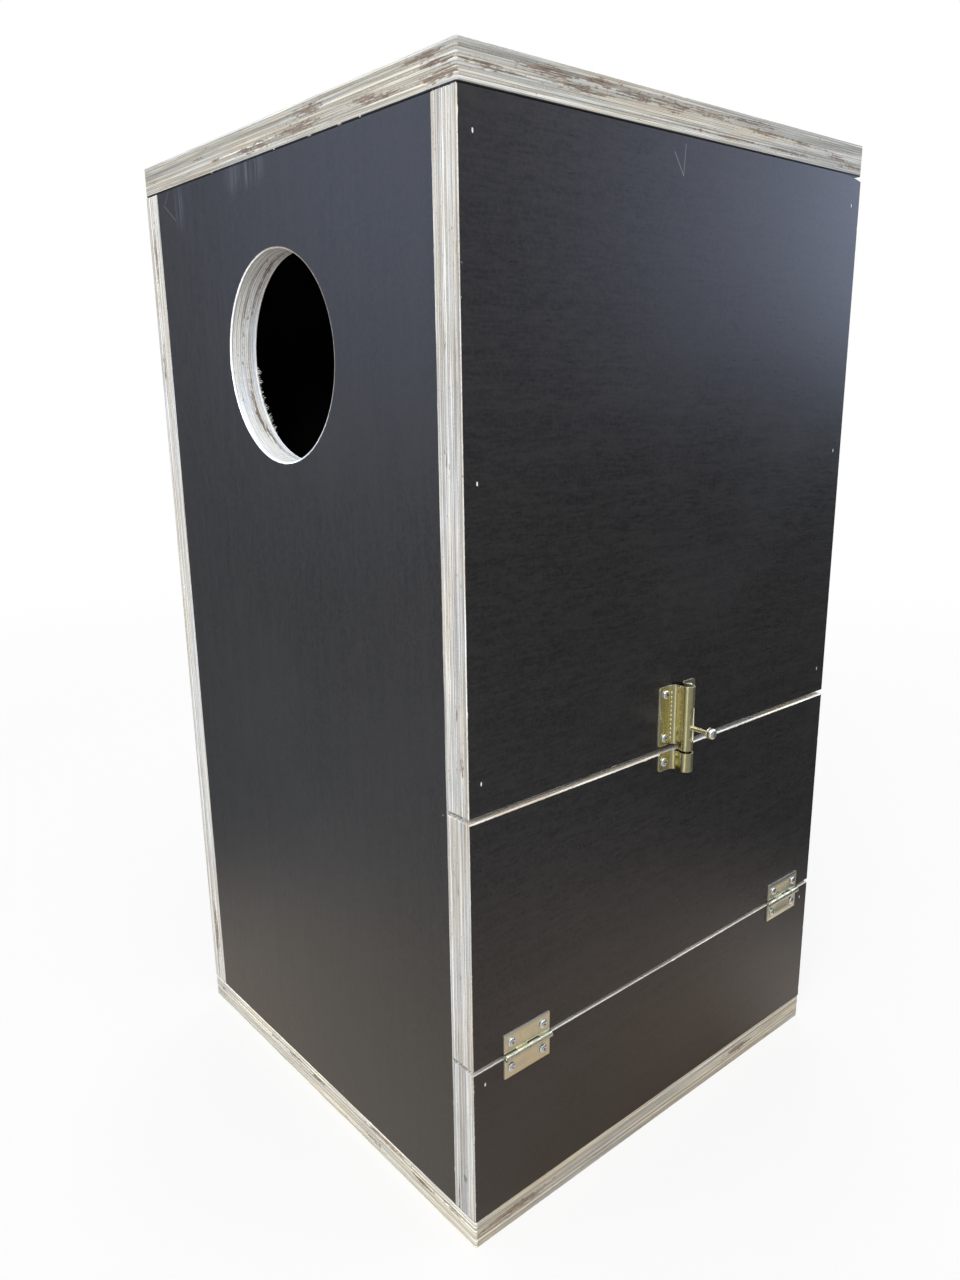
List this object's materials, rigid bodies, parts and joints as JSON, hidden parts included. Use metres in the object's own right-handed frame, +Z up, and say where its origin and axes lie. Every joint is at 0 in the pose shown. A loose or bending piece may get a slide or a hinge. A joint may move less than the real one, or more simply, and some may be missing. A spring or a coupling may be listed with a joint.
{
  "type": "parrot nest box",
  "caption": "Upright nest box of dark film-faced plywood, with a round entrance, climbing rungs inside and a drop-down side door held by a sliding bolt.",
  "frame": {"origin": "centre of the floor panel's underside", "axes": "+Z up, -Y out through the entrance hole, +X towards the side with the inspection door"},
  "size_m": [0.3655, 0.336, 0.636],
  "materials": {
    "film_plywood": "satin dark phenolic film on both faces, pale bare ply edges",
    "hinge_steel": "plain bright plated sheet",
    "fastener_steel": "bright zinc plate",
    "bolt_brass": "yellow plated sheet and turned knob",
    "rung_beech": "planed, unfinished"
  },
  "bodies": {
    "box": {"roof_panel": "film_plywood", "floor_panel": "film_plywood", "front_panel": "film_plywood", "back_panel": "film_plywood", "left_side_panel": "film_plywood", "right_upper_panel": "film_plywood", "right_lower_panel": "film_plywood", "front_hinge_fixed_leaf": "hinge_steel", "front_hinge_pin": "fastener_steel", "rear_hinge_fixed_leaf": "hinge_steel", "rear_hinge_pin": "fastener_steel", "hinge_fixed_screws": "fastener_steel", "bolt_body": "bolt_brass", "bolt_body_screws": "fastener_steel", "roof_brads": "fastener_steel", "floor_brads": "fastener_steel", "left_side_brads": "fastener_steel", "right_side_brads": "fastener_steel", "rung_screws": "fastener_steel", "rung_1": "rung_beech", "rung_2": "rung_beech", "rung_3": "rung_beech", "rung_4": "rung_beech", "rung_5": "rung_beech", "rung_6": "rung_beech", "rung_7": "rung_beech"},
    "door": {"inspection_door": "film_plywood", "front_hinge_door_leaf": "hinge_steel", "rear_hinge_door_leaf": "hinge_steel", "hinge_door_screws": "fastener_steel", "keeper": "bolt_brass", "keeper_screws": "fastener_steel"},
    "bolt": {"bolt_rod": "bolt_brass", "bolt_knob": "bolt_brass"}
  },
  "joints": [
    {"name": "door_hinge", "type": "hinge", "parent": "box", "child": "door", "pos_m": [0.17015, 0, 0.119], "axis": [0, 1, 0], "range_deg": [0, 135]},
    {"name": "bolt_slide", "type": "slide", "parent": "box", "child": "bolt", "axis": [0, 0, 1], "range_m": [-0.007, 0.011]}
  ]
}
